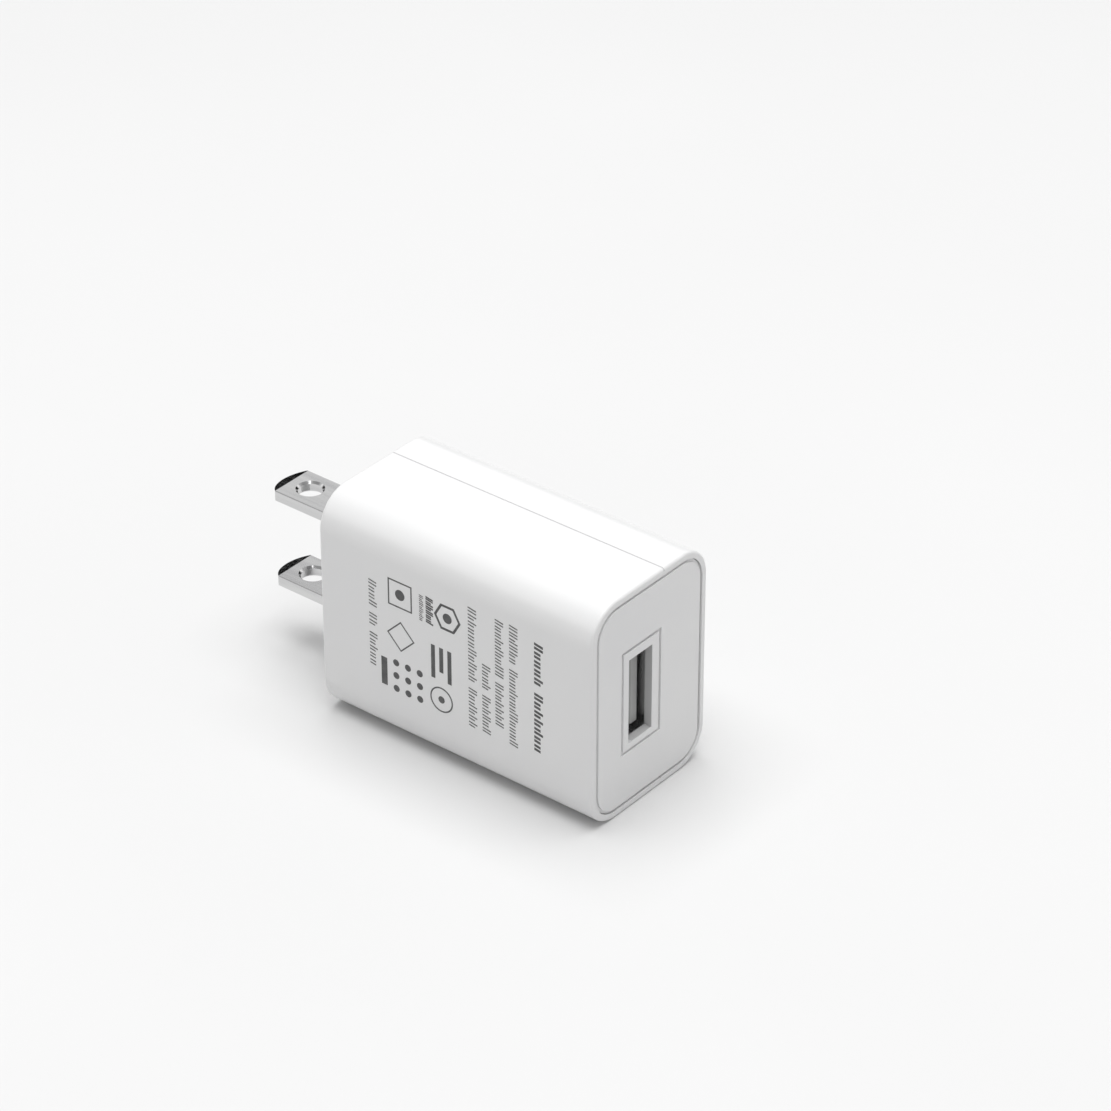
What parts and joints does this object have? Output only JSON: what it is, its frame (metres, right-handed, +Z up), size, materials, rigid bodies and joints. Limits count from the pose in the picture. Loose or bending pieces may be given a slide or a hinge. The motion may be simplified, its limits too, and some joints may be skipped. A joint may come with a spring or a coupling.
{
  "type": "usb wall charger",
  "caption": "Small white mains charger: rounded box with fixed flat plug blades at one end and a USB socket at the other.",
  "frame": {"origin": "middle of the whole outline, blades included, on the surface it stands on", "axes": "+Z up as it stands on its narrow side, +Y from the USB end towards the blades, +X from the label side to the plain side, across the thickness"},
  "size_m": [0.0224, 0.0588, 0.0314],
  "materials": {
    "blade_nickel": "nickel plate over brass, polished",
    "chip_moulding": "black epoxy moulding",
    "tinned_lead": "tin plate, dull",
    "seal_rubber": "black rubber bung",
    "chip_ceramic": "bare brown ceramic",
    "chip_alumina": "black glaze over alumina",
    "enamelled_copper": "enamelled copper wire",
    "ferrite": "sintered dark grey ferrite",
    "contact_bronze": "gilded spring bronze",
    "casing_plastic": "moulded white plastic with a soft gloss",
    "resistor_lacquer": "green flameproof lacquer",
    "can_aluminium": "drawn aluminium",
    "sleeve_film": "shrunk vinyl sleeve",
    "insulating_film": "amber insulating film",
    "board_laminate": "green solder mask on glass laminate",
    "usb_steel": "nickel-plated rolled steel",
    "disc_lacquer": "blue epoxy dip",
    "solder": "bright solder",
    "bobbin_plastic": "black phenolic moulding",
    "coil_tape": "yellow polyester tape",
    "usb_plastic": "white glass-filled moulding",
    "tinned_copper": "tinned copper wire",
    "jacket_black": "matte vinyl jacket",
    "jacket_red": "matte vinyl jacket"
  },
  "bodies": {
    "charger_body": {"blade_lower": "blade_nickel", "blade_upper": "blade_nickel", "bridge_rectifier": "chip_moulding", "bridge_rectifier_leads": "tinned_lead", "capacitor_leads": "tinned_lead", "capacitor_seals": "seal_rubber", "chip_capacitors": "chip_ceramic", "chip_resistors": "chip_alumina", "choke_coil": "enamelled_copper", "choke_drum": "ferrite", "choke_leads": "tinned_lead", "contact_tails": "contact_bronze", "controller_chip": "chip_moulding", "controller_chip_leads": "tinned_lead", "front_panel": "casing_plastic", "fusible_resistor": "resistor_lacquer", "fusible_resistor_leads": "tinned_lead", "input_capacitor_can_1": "can_aluminium", "input_capacitor_can_2": "can_aluminium", "input_capacitor_sleeve_1": "sleeve_film", "input_capacitor_sleeve_2": "sleeve_film", "insulation_sheet": "insulating_film", "label_side_shell": "casing_plastic", "main_board": "board_laminate", "output_capacitor_can_1": "can_aluminium", "output_capacitor_can_2": "can_aluminium", "output_capacitor_sleeve_1": "sleeve_film", "output_capacitor_sleeve_2": "sleeve_film", "output_diode": "chip_moulding", "output_diode_leads": "tinned_lead", "plain_side_shell": "casing_plastic", "rear_panel": "casing_plastic", "safety_capacitor": "disc_lacquer", "safety_capacitor_leads": "tinned_lead", "solder_joints": "solder", "transformer_bobbin": "bobbin_plastic", "transformer_core_front": "ferrite", "transformer_core_rear": "ferrite", "transformer_pins": "tinned_lead", "transformer_tape": "coil_tape", "transformer_windings": "enamelled_copper", "usb_insulator": "usb_plastic", "usb_shell": "usb_steel", "wire_core_lower": "tinned_copper", "wire_core_upper": "tinned_copper", "wire_jacket_lower": "jacket_black", "wire_jacket_upper": "jacket_red"},
    "contact_finger_1": {"contact_finger_1": "contact_bronze"},
    "contact_finger_2": {"contact_finger_2": "contact_bronze"},
    "contact_finger_3": {"contact_finger_3": "contact_bronze"},
    "contact_finger_4": {"contact_finger_4": "contact_bronze"},
    "retention_spring_outer_1": {"retention_spring_outer_1": "usb_steel"},
    "retention_spring_outer_2": {"retention_spring_outer_2": "usb_steel"},
    "retention_spring_board_1": {"retention_spring_board_1": "usb_steel"},
    "retention_spring_board_2": {"retention_spring_board_2": "usb_steel"}
  },
  "joints": [
    {"name": "contact_press_1", "type": "hinge", "parent": "charger_body", "child": "contact_finger_1", "pos_m": [-0.00086, -0.0173, 0.01915], "axis": [0, 0, 1], "range_deg": [0, 2.4], "stiffness_Nm_per_rad": 0.1},
    {"name": "contact_press_2", "type": "hinge", "parent": "charger_body", "child": "contact_finger_2", "pos_m": [-0.00086, -0.0173, 0.01665], "axis": [0, 0, 1], "range_deg": [0, 2.4], "stiffness_Nm_per_rad": 0.1},
    {"name": "contact_press_3", "type": "hinge", "parent": "charger_body", "child": "contact_finger_3", "pos_m": [-0.00086, -0.0173, 0.01465], "axis": [0, 0, 1], "range_deg": [0, 2.4], "stiffness_Nm_per_rad": 0.1},
    {"name": "contact_press_4", "type": "hinge", "parent": "charger_body", "child": "contact_finger_4", "pos_m": [-0.00086, -0.0173, 0.01215], "axis": [0, 0, 1], "range_deg": [0, 2.4], "stiffness_Nm_per_rad": 0.1},
    {"name": "spring_outer_1", "type": "hinge", "parent": "charger_body", "child": "retention_spring_outer_1", "pos_m": [-0.00441, -0.02466, 0.01875], "axis": [0, 0, 1], "range_deg": [0, 4.2], "stiffness_Nm_per_rad": 0.15},
    {"name": "spring_outer_2", "type": "hinge", "parent": "charger_body", "child": "retention_spring_outer_2", "pos_m": [-0.00441, -0.02466, 0.01255], "axis": [0, 0, 1], "range_deg": [0, 4.2], "stiffness_Nm_per_rad": 0.15},
    {"name": "spring_board_1", "type": "hinge", "parent": "charger_body", "child": "retention_spring_board_1", "pos_m": [0.00089, -0.02466, 0.01875], "axis": [0, 0, -1], "range_deg": [0, 3], "stiffness_Nm_per_rad": 0.15},
    {"name": "spring_board_2", "type": "hinge", "parent": "charger_body", "child": "retention_spring_board_2", "pos_m": [0.00089, -0.02466, 0.01255], "axis": [0, 0, -1], "range_deg": [0, 3], "stiffness_Nm_per_rad": 0.15}
  ]
}
